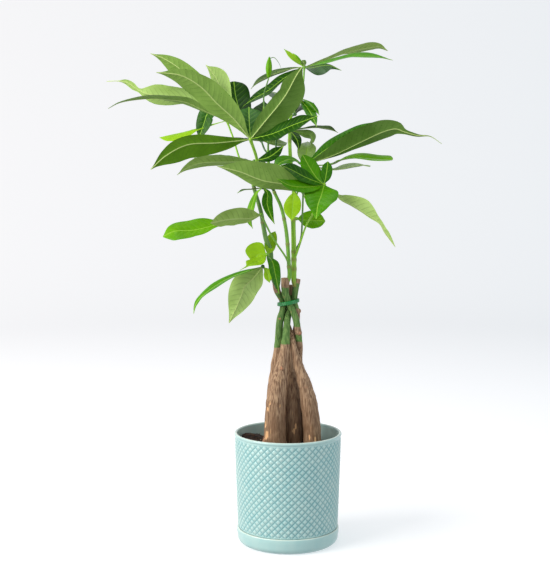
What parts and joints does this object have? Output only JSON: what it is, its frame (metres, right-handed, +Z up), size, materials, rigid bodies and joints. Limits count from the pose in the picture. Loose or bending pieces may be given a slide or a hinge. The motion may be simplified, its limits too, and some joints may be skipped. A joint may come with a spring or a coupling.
{
  "type": "potted money tree",
  "caption": "House plant with twisted, tied woody trunks, green shoots and palmate leaves, standing in a diamond-relief glazed pot on its saucer.",
  "frame": {"origin": "middle of the saucer's flat underside, on the surface that the plant stands on", "axes": "+Z up, -Y towards the side that the picture shows, +X to the right seen from there"},
  "size_m": [0.4676, 0.3008, 0.7053],
  "materials": {
    "glaze": "gloss",
    "soil": "matte",
    "bark": "matte",
    "tie": "gloss",
    "shoot": "satin",
    "leaf": "satin"
  },
  "bodies": {
    "root": {"saucer": "glaze", "pot": "glaze", "soil": "soil", "trunk_1": "bark", "trunk_2": "bark", "trunk_3": "bark", "trunk_4": "bark", "trunk_5": "bark", "tie": "tie", "shoot_1": "shoot", "shoot_2": "shoot", "shoot_3": "shoot", "leaf_01": "leaf", "leaf_02": "leaf", "leaf_03": "leaf", "leaf_04": "leaf", "leaf_05": "leaf", "leaf_06": "leaf", "leaf_07": "leaf", "leaf_08": "leaf", "leaf_09": "leaf", "leaf_10": "leaf", "leaf_11": "leaf", "leaf_12": "leaf", "leaf_13": "leaf", "leaf_14": "leaf", "leaf_15": "leaf", "leaf_16": "leaf", "leaf_17": "leaf", "leaf_18": "leaf", "bud_1": "leaf"}
  },
  "joints": []
}
